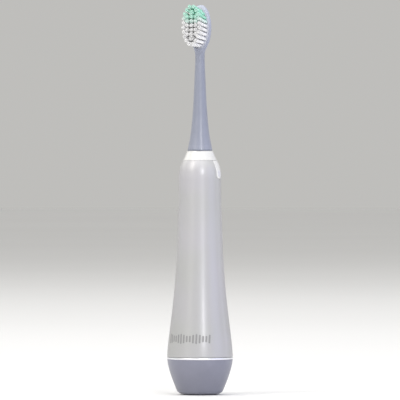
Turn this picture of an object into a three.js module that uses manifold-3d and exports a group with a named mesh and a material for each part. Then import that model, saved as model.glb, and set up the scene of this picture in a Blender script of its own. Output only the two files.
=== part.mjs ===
// A sonic electric toothbrush standing on its inductive charger, as an assembly of its separate pieces.
//
// Millimetres, +Z up. The origin is the centre of the charger's foot, on the surface that it stands on.
// The bristles face -Y, the power button is on +X and the charger's power inlet is on +Y.
// The handle lifts off the charger's peg, the brush head pulls off the drive shaft, the shaft swings
// through a few degrees about +Z, and the button presses a small switch through the handle's window.

import * as THREE from "three";
import { mergeVertices } from "three/addons/utils/BufferGeometryUtils.js";
import Module from "manifold-3d";

const wasm = await Module();
wasm.setup();

// ---- driving dimensions ---------------------------------------------------------------------------

const SEGMENTS = 32; // round the visible casings
const FINE = 20; // round the small inner pieces
const NECK_SIDES = 24;
const GAP = 0.3; // between pieces that were cut to each other's shape
const SLIP = 0.15; // between a piece and the hole that it fits
const SOLDER = 0.05; // between a circuit board and what is soldered to it

// Charger
const FOOT_RADIUS = 10.2;
const FOOT_HEIGHT = 1.6;
const FOOT_PROUD = 0.5; // how far the foot lifts the charger
const PLATE_RADIUS = 11.4;
const PLATE_TOP = 3.2;
const BOWL_WALL = 2;
const BOWL_TOP = 21.9;
const BOWL_CORNER = [[11.8, 0.6], [13.3, 1.4], [14.1, 2.3]];
const BOWL_SIDE = [[15.45, 5.5], [16.95, 9.3], [18.55, 14], [19.65, 18.2], [20.2, BOWL_TOP]];
const TRIM_TOP = 23.15;
const TRIM_RADIUS = 20.3;
const TRIM_INNER = 18;
const DECK_RADIUS = 17.7;
const DECK_BOTTOM = 20.6;
const DECK_TOP = 22.4;
const PEG_RADIUS = 5.2;
const PEG_TOP = 34;
const PEG_WALL = 0.8;
const BOSS_CIRCLE = 8.2; // radius of the circle that the three screw bosses stand on
const BOSS_RADIUS = 2.1;
const SCREW_RADIUS = 0.9;
const SCREW_HEAD_RADIUS = 1.7;
const SCREW_HEAD = 0.9;
const SCREW_COUNT = 3;
const WEIGHT_RADIUS = 12.2;
const CHARGER_BOARD_Z = 11;
const CHARGER_BOARD_RADIUS = 14.4;
const BOARD = 0.8; // thickness of both circuit boards
const INLET = { width: 9, height: 3.3, depth: 7.3, wall: 0.3, y: 8.4, corner: 1.2 };

// Handle
const HANDLE_Z = 23.5; // height of the handle's lower edge as it stands on the charger
const HANDLE_WALL = 1.8;
const SHOULDER_Z = 111; // above the handle's lower edge
const SEAM_Z = 120.9; // where the casing meets the collar
const GRIP_OUTLINE = [
  [20.3, 0],
  [20.05, 5],
  [18.5, 17.5],
  [16.2, 37],
  [14.6, 57],
  [13.7, 76.5],
  [13.15, 96.5],
];
const SHOULDER_OUTLINE = [
  [13.1, SHOULDER_Z],
  [12.97, 113.6],
  [12.47, 116.1],
  [11.64, 118.6],
  [10.5, SEAM_Z],
];
const COLLAR_Z = 121;
const COLLAR_TOP = 126.5;
const COLLAR_OUTLINE = [[10.45, COLLAR_Z], [9.15, 123.6], [8, COLLAR_TOP]];
const COLLAR_HOLE = 3;
const COLLAR_SKIRT = { inner: 7, outer: 8, length: 2.6 };
const WINDOW = { width: 6, bottom: 109.3, corner: 2.9 }; // opening for the power button
const FLANGE = { margin: 0.9, thickness: 0.5, top: 117.2 }; // what keeps the button from falling out
const CAP_RADIUS = 17.9;
const CAP_SKIRT = 17.2;
const CAP_SKIRT_TOP = 9;
const SEAL_Z = 5.2; // of the O-ring on the base cap
const SEAL_RADIUS = 0.55;
const SOCKET_RADIUS = 5.6; // the recess that the charger's peg enters
const SOCKET_WALL = 0.9;
const SOCKET_TOP = PEG_TOP - HANDLE_Z + 0.2;
const RETAINER_Z = 15;

// Chassis and what it carries, in the handle's frame
const CHASSIS_BOTTOM = 17.5;
const CHASSIS_TOP = 113;
const CHASSIS_INNER = 7.2;
const CHASSIS_OUTER = 8.6;
const CHASSIS_MOUTH = THREE.MathUtils.degToRad(50); // half of the open side's angle
const CELL_RADIUS = 7;
const CELL_LENGTH = 49.2;
const CELL_Z = 20;
const MAIN_BOARD = { x: 7.4, width: 12, bottom: 38.5, top: 116 };
const SWITCH = { z: 112.8, size: 4, height: 1, plunger: 1, stroke: 0.5 };
const SWITCH_TOP = MAIN_BOARD.x + BOARD + SOLDER + SWITCH.height; // distances from the handle's axis
const BUTTON_POST_END = 10.15;

// Motor, in its own frame, which starts at its rear plate
const MOTOR_Z = 73.1;
const CAN_RADIUS = 6.8;
const CAN_INNER = 6.2;
const CAN_LENGTH = 32.6;
const END_PLATE = 1.6;
const ROTOR_RADIUS = 5.9;
const ROTOR_INNER = 5.4;
const MAGNET_INNER = 4.5;
const POLE_RADIUS = 4.2;
const STATOR_Z = 3.4;
const STATOR_LENGTH = 10;
const HUB_Z = 15.6;
const SHAFT_RADIUS = 1.9;
const SHAFT_LENGTH = 63;
const SHAFT_FLAT = 1.4; // distance of the driving flat from the shaft's axis
const SPRING = { turns: 4, radius: 3.6, bottom: 20.6, pitch: 2.7, wire: 0.45 };

// Brush head, in its own frame, which starts at the neck's lower edge
const HEAD_Z = 150.35;
const HEAD_CENTRE = 75.1; // height of the bristle field's middle
const HEAD_TILT = THREE.MathUtils.degToRad(1); // the head leans back from the bristles
const TUFT_TILT = THREE.MathUtils.degToRad(8); // and the tufts slope up from it
const HEAD_DEPTH = 0.8; // the head's middle plane lies this far behind the shaft's axis
const FACE_DEPTH = 2.1; // from the middle plane to the head's front face
const CARRIER = { width: 6.2, height: 12.65, thickness: 1.3 };
const FUSED = 0.45; // the sheet that joins the tufts' roots behind the carrier
const TUFT_RADIUS = 0.92;
const TUFT_LENGTH = 12.5; // in front of the head's face
const RING = { width: 5.2, height: 11.55, count: 20 }; // the outer ring of tufts
const ROW_PITCH = 2.6;
const COLUMN_PITCH = 2.85;
const GREEN_ABOVE = 4.5; // tufts higher than this above the middle are green
const GREEN_STEP = { x: 3.77, inner: 4, outer: 5.3 }; // lower edge of the green tufts' sheet
const NECK_BORE = 3.15;
const NECK_BORE_DEPTH = 27;
const NECK_MOUTH = { radius: 6.2, depth: 2.4 };

// Half width, half depth, distance of the middle behind the shaft's axis, and squareness of the outline
// at each height of the brush neck and head.
const NECK_STATIONS = [
  { z: 0, w: 7.75, d: 7.75, y: 0, n: 2 },
  { z: 4, w: 6.93, d: 6.93, y: 0, n: 2 },
  { z: 9.5, w: 5.9, d: 5.9, y: 0, n: 2 },
  { z: 18, w: 4.93, d: 4.93, y: 0, n: 2 },
  { z: 30, w: 4.05, d: 4.05, y: 0, n: 2 },
  { z: 45, w: 3.36, d: 3.4, y: 0, n: 2 },
  { z: 56, w: 2.9, d: 3, y: -0.05, n: 2 },
  { z: 60.5, w: 3.15, d: 2.8, y: -0.05, n: 2.2 },
  { z: 63.5, w: 4.3, d: 2.65, y: 0.15, n: 2.6 },
  { z: 67, w: 5.85, d: 2.5, y: 0.5, n: 3 },
  { z: 71, w: 6.7, d: 2.45, y: 0.7, n: 3.2 },
  { z: 75.25, w: 7.05, d: 2.4, y: 0.8, n: 3.2 },
  { z: 80, w: 6.65, d: 2.35, y: 0.88, n: 3.2 },
  { z: 84.5, w: 5.5, d: 2.25, y: 0.96, n: 3 },
  { z: 87.6, w: 3.8, d: 2.0, y: 1, n: 2.6 },
  { z: 89.2, w: 2.1, d: 1.4, y: 1.05, n: 2.2 },
  { z: 89.65, w: 0.9, d: 0.7, y: 1.06, n: 2 },
];

// ---- materials ------------------------------------------------------------------------------------

const plastic = (color, roughness) => new THREE.MeshStandardMaterial({ color, roughness, metalness: 0 });
const metal = (color, roughness) => new THREE.MeshStandardMaterial({ color, roughness, metalness: 1 });

const PEARL = new THREE.MeshStandardMaterial({ color: 0xd2d1d4, roughness: 0.3, metalness: 0.15 });
const WHITE = plastic(0xf3f3f0, 0.25);
const SLATE = plastic(0x9698ab, 0.35);
const MIST = plastic(0xb0b2c4, 0.35);
const NYLON_WHITE = plastic(0xf6f6f8, 0.5);
const NYLON_GREEN = plastic(0x63d9a4, 0.5);
const RUBBER = plastic(0x4c4e55, 0.8);
const NATURAL = plastic(0xdedcd2, 0.5);
const CHROME = metal(0xe8eaef, 0.15);
const STEEL = metal(0xb4b6b9, 0.35);
const IRON = metal(0x6c6d70, 0.5);
const COPPER = metal(0xb86a3c, 0.35);
const BRASS = metal(0xc9a557, 0.3);
const FERRITE = plastic(0x2f2f33, 0.6);
const LAMINATE = plastic(0x1f6b45, 0.45);
const CHIP = plastic(0x18191b, 0.5);
const CELL = plastic(0x2d6fb5, 0.35);

// ---- shapes ---------------------------------------------------------------------------------------

function merged(geometry) {
  const bare = new THREE.BufferGeometry();
  const source = geometry.index ? geometry.toNonIndexed() : geometry;
  bare.setAttribute("position", source.getAttribute("position"));
  return mergeVertices(bare, 1e-4);
}

function toSolid(geometry) {
  const { index, attributes } = merged(geometry);
  const triVerts = [];
  for (let i = 0; i < index.count; i += 3) {
    const [a, b, c] = [index.getX(i), index.getX(i + 1), index.getX(i + 2)];
    if (a !== b && b !== c && a !== c) triVerts.push(a, b, c);
  }
  const vertProperties = attributes.position.array;
  return new wasm.Manifold(new wasm.Mesh({ numProp: 3, vertProperties, triVerts: new Uint32Array(triVerts) }));
}

function toGeometry(solid) {
  const { numProp, numVert, vertProperties, triVerts } = solid.getMesh();
  const position = new Float32Array(numVert * 3);
  for (let i = 0; i < numVert; i++) {
    position.set(vertProperties.subarray(i * numProp, i * numProp + 3), i * 3);
  }
  const geometry = new THREE.BufferGeometry();
  geometry.setAttribute("position", new THREE.BufferAttribute(position, 3));
  geometry.setIndex(new THREE.BufferAttribute(new Uint32Array(triVerts), 1));
  geometry.computeVertexNormals();
  return geometry;
}

function join(first, ...rest) {
  return toGeometry(rest.reduce((all, piece) => all.add(toSolid(piece)), toSolid(first)));
}

function cut(first, ...tools) {
  return toGeometry(tools.reduce((rest, tool) => rest.subtract(toSolid(tool)), toSolid(first)));
}

function common(first, second) {
  return toGeometry(toSolid(first).intersect(toSolid(second)));
}

// A solid of revolution about Z from the [radius, height] points round its section, in either direction.
function revolve(points, segments = FINE) {
  const area = points.reduce((sum, [r, z], i) => {
    const [nextR, nextZ] = points[(i + 1) % points.length];
    return sum + r * nextZ - nextR * z;
  }, 0);
  const ordered = area < 0 ? [...points].reverse() : [...points];
  const onAxis = Math.min(...points.map(([r]) => r)) === 0;
  if (!onAxis) ordered.push(ordered[0]);
  while (onAxis && !(ordered[0][0] === 0 && ordered.at(-1)[0] === 0)) ordered.push(ordered.shift());
  const outline = ordered.map(([r, z]) => new THREE.Vector2(r, z));
  return new THREE.LatheGeometry(outline, segments).rotateX(Math.PI / 2);
}

// [radius, height] points along a smooth curve through the ones given.
function smooth(points, perSpan) {
  const curve = new THREE.SplineCurve(points.map(([r, z]) => new THREE.Vector2(r, z)));
  return curve.getPoints(perSpan * (points.length - 1)).map(({ x, y }) => [x, y]);
}

const disc = (radius, bottom, top, segments = FINE) =>
  revolve([[0, bottom], [radius, bottom], [radius, top], [0, top]], segments);

const tube = (inner, outer, bottom, top, segments = FINE) =>
  revolve([[inner, bottom], [outer, bottom], [outer, top], [inner, top]], segments);

// A box from its lowest and highest corners.
function block([x0, y0, z0], [x1, y1, z1]) {
  const box = new THREE.BoxGeometry(x1 - x0, y1 - y0, z1 - z0);
  return box.translate((x0 + x1) / 2, (y0 + y1) / 2, (z0 + z1) / 2);
}

function extrude(shape, depth, curveSegments = 12) {
  return new THREE.ExtrudeGeometry(shape, { depth, bevelEnabled: false, curveSegments });
}

// A rectangle with round corners, centred on x and y.
function roundedRectangle(width, height, radius) {
  const [w, h] = [width / 2 - radius, height / 2 - radius];
  const shape = new THREE.Shape();
  shape.absarc(w, h, radius, 0, Math.PI / 2);
  shape.absarc(-w, h, radius, Math.PI / 2, Math.PI);
  shape.absarc(-w, -h, radius, Math.PI, 1.5 * Math.PI);
  shape.absarc(w, -h, radius, 1.5 * Math.PI, 2 * Math.PI);
  return shape;
}

// Part of a ring between two radii, from one angle to another, as an outline.
function arcBand(inner, outer, from, to) {
  const shape = new THREE.Shape();
  shape.absarc(0, 0, outer, from, to, false);
  shape.absarc(0, 0, inner, to, from, true);
  return shape;
}

// A six-sided wire along a curve.
function wire(curve, radius, steps) {
  const corner = (i) => new THREE.Vector2(radius, 0).rotateAround(new THREE.Vector2(), (i * Math.PI) / 3);
  const section = new THREE.Shape([0, 1, 2, 3, 4, 5].map(corner));
  return new THREE.ExtrudeGeometry(section, { steps, extrudePath: curve });
}

function node(name, geometry, material) {
  const mesh = new THREE.Mesh(geometry, material);
  mesh.name = name;
  return mesh;
}

function assembly(z, ...children) {
  const group = new THREE.Group();
  group.position.z = z;
  group.add(...children);
  return group;
}

// What make(x, y, i) gives at each of the charger's screw places; the first is in front of the axis.
function atScrews(make) {
  return Array.from({ length: SCREW_COUNT }, (_, i) => {
    const angle = (2 * Math.PI * i) / SCREW_COUNT - Math.PI / 2;
    return make(BOSS_CIRCLE * Math.cos(angle), BOSS_CIRCLE * Math.sin(angle), i);
  });
}

// ---- charger --------------------------------------------------------------------------------------

function screwHoles(radius, bottom, top) {
  return atScrews((x, y) => disc(radius, bottom, top, 12).translate(x, y, 0));
}

function bottomPlate() {
  const plate = disc(PLATE_RADIUS, FOOT_PROUD, PLATE_TOP, SEGMENTS);
  const footRecess = disc(FOOT_RADIUS + SLIP, 0, FOOT_HEIGHT + 0.1, SEGMENTS);
  const counterbores = screwHoles(SCREW_HEAD_RADIUS + SLIP, 0, FOOT_HEIGHT + SCREW_HEAD + 0.2);
  return cut(plate, footRecess, ...screwHoles(SCREW_RADIUS + SLIP, 0, 5), ...counterbores);
}

function bowl() {
  const inside = BOWL_SIDE.slice(1).reverse().map(([r, z]) => [r - BOWL_WALL, z]);
  const seat = PLATE_RADIUS + SLIP;
  const ledge = [[13.2, 3.6], [seat, 3.4], [seat, BOWL_CORNER[0][1]]];
  const walls = revolve([...BOWL_CORNER, ...BOWL_SIDE, ...inside, ...ledge], SEGMENTS);
  return cut(walls, inletPrism(INLET.width + 0.4, INLET.height + 0.4, 8, 22));
}

// The inlet's outline, run along +Y between two distances from the axis.
function inletPrism(width, height, from, to) {
  const corner = Math.min(INLET.corner + (width - INLET.width) / 2, height / 2 - 0.01);
  const prism = extrude(roundedRectangle(width, height, corner), to - from, 4);
  return prism.rotateX(-Math.PI / 2).translate(0, from, CHARGER_BOARD_Z - INLET.height / 2 - 0.1);
}

function inletShell() {
  const { width, height, depth, wall, y } = INLET;
  const hollow = inletPrism(width - 2 * wall, height - 2 * wall, y + 1, y + depth + 1);
  return cut(inletPrism(width, height, y, y + depth), hollow);
}

function inletTongue() {
  const { width, height, depth, y } = INLET;
  const z = CHARGER_BOARD_Z - height / 2 - 0.1;
  return block([-width / 2 + 1.2, y + 1.2, z - 0.35], [width / 2 - 1.2, y + depth - 1, z + 0.35]);
}

function topCover() {
  const section = [
    [PEG_RADIUS - PEG_WALL, DECK_BOTTOM],
    [DECK_RADIUS, DECK_BOTTOM],
    [DECK_RADIUS, DECK_TOP],
    [PEG_RADIUS + 0.9, DECK_TOP],
    [PEG_RADIUS, DECK_TOP + 0.9],
    [PEG_RADIUS, PEG_TOP - 1.2],
    [PEG_RADIUS - 1.2, PEG_TOP],
    [0, PEG_TOP],
    [0, PEG_TOP - PEG_WALL],
    [PEG_RADIUS - PEG_WALL - 0.6, PEG_TOP - PEG_WALL],
    [PEG_RADIUS - PEG_WALL, PEG_TOP - PEG_WALL - 0.6],
  ];
  const boss = disc(BOSS_RADIUS, PLATE_TOP + 0.1, DECK_BOTTOM + 0.5, 16);
  const bosses = atScrews((x, y) => boss.clone().translate(x, y, 0));
  return cut(join(revolve(section, SEGMENTS), ...bosses), ...screwHoles(SCREW_RADIUS + 0.1, 0, 10));
}

function screw(x, y) {
  const bottom = FOOT_HEIGHT + 0.15;
  const section = [
    [0, bottom],
    [SCREW_HEAD_RADIUS, bottom],
    [SCREW_HEAD_RADIUS, bottom + SCREW_HEAD],
    [SCREW_RADIUS, bottom + SCREW_HEAD],
    [SCREW_RADIUS, 9],
    [0, 9.8],
  ];
  return revolve(section, 12).translate(x, y, 0);
}

function chargerWeight() {
  const weight = disc(WEIGHT_RADIUS, PLATE_TOP + 0.5, PLATE_TOP + 3.2, SEGMENTS);
  return cut(weight, ...screwHoles(BOSS_RADIUS + 0.2, 0, 20));
}

function chargerBoard() {
  const board = disc(CHARGER_BOARD_RADIUS, CHARGER_BOARD_Z, CHARGER_BOARD_Z + BOARD);
  return cut(board, ...screwHoles(BOSS_RADIUS + 0.2, 0, 20));
}

function trimRing() {
  const [bottom, middle, edge] = [BOWL_TOP + 0.05, BOWL_TOP + 0.6, TRIM_RADIUS - 0.15];
  const outside = [[edge, bottom], [TRIM_RADIUS, middle], [edge, TRIM_TOP]];
  return revolve([[TRIM_INNER, bottom], ...outside, [TRIM_INNER, TRIM_TOP]], SEGMENTS);
}

function charger() {
  const boardTop = CHARGER_BOARD_Z + BOARD + SOLDER;
  return assembly(
    0,
    node("charger_foot", disc(FOOT_RADIUS, 0, FOOT_HEIGHT, SEGMENTS), RUBBER),
    node("charger_bottom_plate", bottomPlate(), SLATE),
    node("charger_bowl", bowl(), SLATE),
    node("charger_trim_ring", trimRing(), CHROME),
    node("charger_top_cover", topCover(), SLATE),
    node("charger_weight", chargerWeight(), STEEL),
    node("charger_board", chargerBoard(), LAMINATE),
    node("charger_driver_chip", block([-8, -4.5, boardTop], [-4, 1, boardTop + 1.4]), CHIP),
    node("charger_capacitor", disc(2.6, boardTop, boardTop + 6).translate(6.5, -9, 0), CHIP),
    node("charger_ferrite_core", disc(2, boardTop, PEG_TOP - 1.4), FERRITE),
    node("charger_transmit_coil", tube(2.2, 4.1, DECK_BOTTOM, PEG_TOP - 2), COPPER),
    node("charger_inlet_shell", inletShell(), STEEL),
    node("charger_inlet_tongue", inletTongue(), CHIP),
    ...atScrews((x, y, i) => node(`charger_screw_${i + 1}`, screw(x, y), STEEL)),
  );
}

// ---- handle casing --------------------------------------------------------------------------------

function handleOutline() {
  return [...smooth([...GRIP_OUTLINE, SHOULDER_OUTLINE[0]], 2), ...SHOULDER_OUTLINE.slice(1)];
}

const inward = (points, distance) => points.map(([r, z]) => [r - distance, z]);

// The window's outline run along +X: straight sides, a round lower end, and open at the top.
function windowPrism(margin, top, from, to) {
  const [half, corner] = [WINDOW.width / 2 + margin, WINDOW.corner + margin];
  const bottom = WINDOW.bottom - margin;
  const shape = new THREE.Shape();
  shape.moveTo(half, top);
  shape.lineTo(-half, top);
  shape.absarc(-half + corner, bottom + corner, corner, Math.PI, 1.5 * Math.PI);
  shape.absarc(half - corner, bottom + corner, corner, 1.5 * Math.PI, 2 * Math.PI);
  return extrude(shape, to - from, 6).rotateX(Math.PI / 2).rotateZ(Math.PI / 2).translate(from, 0, 0);
}

function handleShell() {
  const outside = handleOutline();
  const inside = inward([...GRIP_OUTLINE, ...SHOULDER_OUTLINE], HANDLE_WALL).reverse();
  return cut(revolve([...outside, ...inside], SEGMENTS), windowPrism(0, SEAM_Z + 1, 6, 16));
}

// The part of the casing's thickness between two depths under its outside.
function casingLayer(from, to) {
  const outside = handleOutline();
  return revolve([...inward(outside, from), ...inward(outside, to).reverse()], SEGMENTS);
}

function powerButton() {
  const { margin, thickness, top } = FLANGE;
  const back = HANDLE_WALL + GAP;
  const tongue = common(windowPrism(-SLIP, SEAM_Z - 0.2, 4, 16), casingLayer(0, HANDLE_WALL));
  const stem = common(windowPrism(-SLIP, top, 4, 16), casingLayer(HANDLE_WALL - 0.3, back + 0.3));
  const flange = common(windowPrism(margin, top, 4, 16), casingLayer(back, back + thickness));
  return join(tongue, stem, flange, switchRod(1, BUTTON_POST_END, 10.9));
}

function collar() {
  const { inner, outer, length } = COLLAR_SKIRT;
  const section = [
    ...smooth(COLLAR_OUTLINE, 2),
    [COLLAR_HOLE, COLLAR_TOP],
    [COLLAR_HOLE, COLLAR_TOP - 1.6],
    [6.4, COLLAR_TOP - 1.6],
    [inner, COLLAR_Z],
    [inner, COLLAR_Z - length],
    [outer, COLLAR_Z - length],
    [outer, COLLAR_Z],
  ];
  return revolve(section, SEGMENTS);
}

function shaftSeal() {
  const [bottom, rim] = [COLLAR_Z - 1.2, COLLAR_TOP - 1.7];
  return revolve([
    [SHAFT_RADIUS + 0.1, bottom],
    [3.4, bottom],
    [3.4, bottom + 1.6],
    [6.2, bottom + 1.6],
    [6.2, rim],
    [COLLAR_HOLE - SLIP, rim],
    [COLLAR_HOLE - SLIP, COLLAR_TOP - 0.5],
    [SHAFT_RADIUS + 0.1, COLLAR_TOP + 0.1],
  ]);
}

function baseCap() {
  const bottom = 0.4;
  const groove = SEAL_RADIUS + 0.15;
  const section = [
    [SOCKET_RADIUS, bottom],
    [CAP_RADIUS, bottom],
    [CAP_RADIUS, bottom + 1.4],
    [CAP_SKIRT, bottom + 2],
    [CAP_SKIRT, SEAL_Z - groove],
    [CAP_SKIRT - 0.55, SEAL_Z - groove],
    [CAP_SKIRT - 0.55, SEAL_Z + groove],
    [CAP_SKIRT, SEAL_Z + groove],
    [CAP_SKIRT - 0.7, CAP_SKIRT_TOP],
    [CAP_SKIRT - 2.2, CAP_SKIRT_TOP],
    [CAP_SKIRT - 2.2, bottom + 1.6],
    [SOCKET_RADIUS + SOCKET_WALL, bottom + 1.6],
    [SOCKET_RADIUS + SOCKET_WALL, SOCKET_TOP + SOCKET_WALL],
    [0, SOCKET_TOP + SOCKET_WALL],
    [0, SOCKET_TOP],
    [SOCKET_RADIUS, SOCKET_TOP],
  ];
  return revolve(section, SEGMENTS);
}

function sealRing() {
  const ring = new THREE.TorusGeometry(CAP_SKIRT + 0.1, SEAL_RADIUS, 6, SEGMENTS);
  return ring.translate(0, 0, SEAL_Z);
}

// A lead from the receiving coil, up through the retainer and onto the circuit board.
function coilLead(side) {
  const points = [[8.2, 10.6], [10.9, 13.6], [10.9, 24.5], [8.95, 32], [8.8, 40]];
  const path = new THREE.CatmullRomCurve3(points.map(([x, z]) => new THREE.Vector3(x, side * 2.5, z)));
  return wire(path, 0.35, 14);
}

// ---- chassis, battery and electronics -------------------------------------------------------------

function chassis() {
  const length = CHASSIS_TOP - CHASSIS_BOTTOM;
  const shell = arcBand(CHASSIS_INNER, CHASSIS_OUTER, CHASSIS_MOUTH, 2 * Math.PI - CHASSIS_MOUTH);
  const railBottom = CHASSIS_BOTTOM + 15;
  const rails = [-6.05, 6.05].map((y) => block([4.7, y - 0.55, railBottom], [7.3, y + 0.55, CHASSIS_TOP]));
  const trough = extrude(shell, length, 12).translate(0, 0, CHASSIS_BOTTOM);
  const behindCell = tube(2, CHASSIS_INNER + 0.2, MOTOR_Z - 1.7, MOTOR_Z - 0.3);
  const front = MOTOR_Z + CAN_LENGTH + 2 * END_PLATE;
  const aheadOfMotor = tube(3.6, CHASSIS_INNER + 0.2, front + 0.2, front + 1.4);
  return join(trough, ...rails, behindCell, aheadOfMotor);
}

function cellRetainer() {
  const holder = revolve([
    [0, RETAINER_Z],
    [16.5, RETAINER_Z],
    [16.3, RETAINER_Z + 1.6],
    [10.2, RETAINER_Z + 2],
    [10.2, RETAINER_Z + 8],
    [8.8, RETAINER_Z + 8],
    [8.8, RETAINER_Z + 2.2],
    [0, RETAINER_Z + 2.2],
  ]);
  const leadHoles = [-2.5, 2.5].map((y) => disc(1, 0, 40, 8).translate(11.1, y, 0));
  return cut(holder, ...leadHoles);
}

function batteryCell() {
  const top = CELL_Z + CELL_LENGTH;
  return revolve([
    [0, CELL_Z],
    [CELL_RADIUS, CELL_Z],
    [CELL_RADIUS, top - 1.4],
    [CELL_RADIUS - 0.5, top - 0.9],
    [2.8, top - 0.9],
    [2.5, top],
    [0, top],
  ]);
}

// A nickel strip from one end of the cell to the back of the circuit board.
function cellTab(z, riseTo) {
  const [back, front] = [MAIN_BOARD.x - 0.3, MAIN_BOARD.x - 0.08];
  const across = block([-3, -2, z], [front, 2, z + 0.2]);
  const along = block([back, -2, Math.min(z, riseTo)], [front, 2, Math.max(z, riseTo)]);
  return join(across, along);
}

function mainBoard() {
  const { x, width, bottom, top } = MAIN_BOARD;
  const terminalSlots = [-1, 1].map((side) =>
    block([x - 1, side * 2.2 - 1, MOTOR_Z + 0.3], [x + 2, side * 2.2 + 1, MOTOR_Z + 1.3]));
  return cut(block([x, -width / 2, bottom], [x + BOARD, width / 2, top]), ...terminalSlots);
}

// A component soldered to the front of the main board.
function onBoard(y, z, width, height, depth) {
  const face = MAIN_BOARD.x + BOARD + SOLDER;
  return block([face, y - width / 2, z - height / 2], [face + depth, y + width / 2, z + height / 2]);
}

// A cylinder along +X between two distances from the axis, at the switch's height.
function switchRod(radius, from, to) {
  const rod = new THREE.CylinderGeometry(radius, radius, to - from, 16).rotateZ(Math.PI / 2);
  return rod.translate((from + to) / 2, 0, SWITCH.z);
}

function switchBody() {
  const { z, size, height, plunger, stroke } = SWITCH;
  const well = switchRod(plunger + SLIP, SWITCH_TOP - stroke - 0.2, SWITCH_TOP + 1);
  return cut(onBoard(0, z, size, size, height), well);
}

function switchPlunger() {
  return switchRod(SWITCH.plunger, SWITCH_TOP - 0.1, BUTTON_POST_END - SOLDER);
}

function motorTerminal(side) {
  const [y, z] = [side * 2.2, MOTOR_Z + 0.5];
  return block([CAN_RADIUS + 0.1, y - 0.8, z], [MAIN_BOARD.x + BOARD + 0.7, y + 0.8, z + 0.6]);
}

function handle() {
  return assembly(
    HANDLE_Z,
    node("handle_shell", handleShell(), PEARL),
    node("handle_collar", collar(), WHITE),
    node("shaft_seal", shaftSeal(), RUBBER),
    node("handle_base_cap", baseCap(), WHITE),
    node("base_cap_seal", sealRing(), RUBBER),
    node("receive_coil", tube(6.7, 9.4, 2.3, 10.1), COPPER),
    node("coil_lead_1", coilLead(-1), COPPER),
    node("coil_lead_2", coilLead(1), COPPER),
    node("chassis", chassis(), NATURAL),
    node("cell_retainer", cellRetainer(), NATURAL),
    node("battery_cell", batteryCell(), CELL),
    node("cell_tab_negative", cellTab(CELL_Z - 0.35, 42), STEEL),
    node("cell_tab_positive", cellTab(CELL_Z + CELL_LENGTH + 0.1, 64), STEEL),
    node("main_board", mainBoard(), LAMINATE),
    node("controller_chip", onBoard(0, 90, 5, 5, 0.9), CHIP),
    node("charging_chip", onBoard(0.5, 52, 4, 5, 1.4), CHIP),
    node("power_inductor", onBoard(0, 62, 5.2, 5.2, 2.2), FERRITE),
    node("indicator_led", onBoard(0, 108, 1.6, 1.6, 0.8), NYLON_WHITE),
    node("switch_body", switchBody(), STEEL),
    node("motor_terminal_1", motorTerminal(-1), BRASS),
    node("motor_terminal_2", motorTerminal(1), BRASS),
    motorStator(),
  );
}

// ---- motor ----------------------------------------------------------------------------------------

function rearPlate() {
  const seat = block([-0.6, -1.2, END_PLATE - 0.5], [0.6, 1.2, STATOR_Z - 0.1]);
  const seats = [-3.5, 3.5].map((x) => seat.clone().translate(x, 0, 0));
  return join(disc(CAN_RADIUS, 0, END_PLATE), ...seats);
}

// The iron core: a leg along X with a curved pole at each end.
function statorCore() {
  const spread = THREE.MathUtils.degToRad(38);
  const pole = extrude(arcBand(2.9, POLE_RADIUS, -spread, spread), STATOR_LENGTH);
  const poles = [pole, pole.clone().rotateZ(Math.PI)];
  const leg = block([-3.4, -1.1, 0], [3.4, 1.1, STATOR_LENGTH]);
  return join(leg, ...poles).translate(0, 0, STATOR_Z);
}

function statorCoil() {
  const [top, clear] = [STATOR_Z + STATOR_LENGTH, 0.15];
  const winding = block([-2, -2.4, STATOR_Z - 1.4], [2, 2.4, top + 1.4]);
  const core = block([-3, -1.1 - clear, STATOR_Z - clear], [3, 1.1 + clear, top + clear]);
  return cut(winding, core);
}

class Helix extends THREE.Curve {
  getPoint(t, target = new THREE.Vector3()) {
    const { turns, radius, bottom, pitch } = SPRING;
    const angle = 2 * Math.PI * turns * t;
    return target.set(radius * Math.cos(angle), radius * Math.sin(angle), bottom + pitch * turns * t);
  }
}

function returnSpring() {
  return wire(new Helix(), SPRING.wire, 12 * SPRING.turns);
}

function motorStator() {
  const top = END_PLATE + CAN_LENGTH;
  return assembly(
    MOTOR_Z,
    node("motor_can", tube(CAN_INNER, CAN_RADIUS, END_PLATE, top), STEEL),
    node("motor_rear_plate", rearPlate(), NATURAL),
    node("motor_front_plate", tube(3.1, CAN_RADIUS, top, top + END_PLATE), STEEL),
    node("front_bushing", tube(SHAFT_RADIUS + 0.08, 3, top - 1, top + END_PLATE + 1), BRASS),
    node("stator_core", statorCore(), IRON),
    node("stator_coil", statorCoil(), COPPER),
    node("return_spring", returnSpring(), STEEL),
  );
}

function rotorCup() {
  return revolve([
    [SHAFT_RADIUS + 0.06, HUB_Z],
    [ROTOR_INNER, HUB_Z],
    [ROTOR_INNER, STATOR_Z - 0.6],
    [ROTOR_RADIUS, STATOR_Z - 0.6],
    [ROTOR_RADIUS, HUB_Z + 1.4],
    [3, HUB_Z + 1.4],
    [3, HUB_Z + 4],
    [SHAFT_RADIUS + 0.06, HUB_Z + 4],
  ]);
}

function rotorMagnet(index) {
  const [middle, spread] = [(index * Math.PI) / 2 + Math.PI / 4, THREE.MathUtils.degToRad(40)];
  const band = arcBand(MAGNET_INNER, ROTOR_INNER - 0.08, middle - spread, middle + spread);
  return extrude(band, STATOR_LENGTH, 10).translate(0, 0, STATOR_Z);
}

function driveShaft() {
  const top = HUB_Z + SHAFT_LENGTH;
  const round = revolve([
    [0, HUB_Z],
    [SHAFT_RADIUS, HUB_Z],
    [SHAFT_RADIUS, top - 6],
    [SHAFT_RADIUS - 0.3, top - 5.6],
    [SHAFT_RADIUS - 0.3, top - 4.4],
    [SHAFT_RADIUS, top - 4],
    [SHAFT_RADIUS, top - 1],
    [SHAFT_RADIUS - 0.7, top],
    [0, top],
  ]);
  return cut(round, block([-3, SHAFT_FLAT, top - 18], [3, 3, top + 1]));
}

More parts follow.
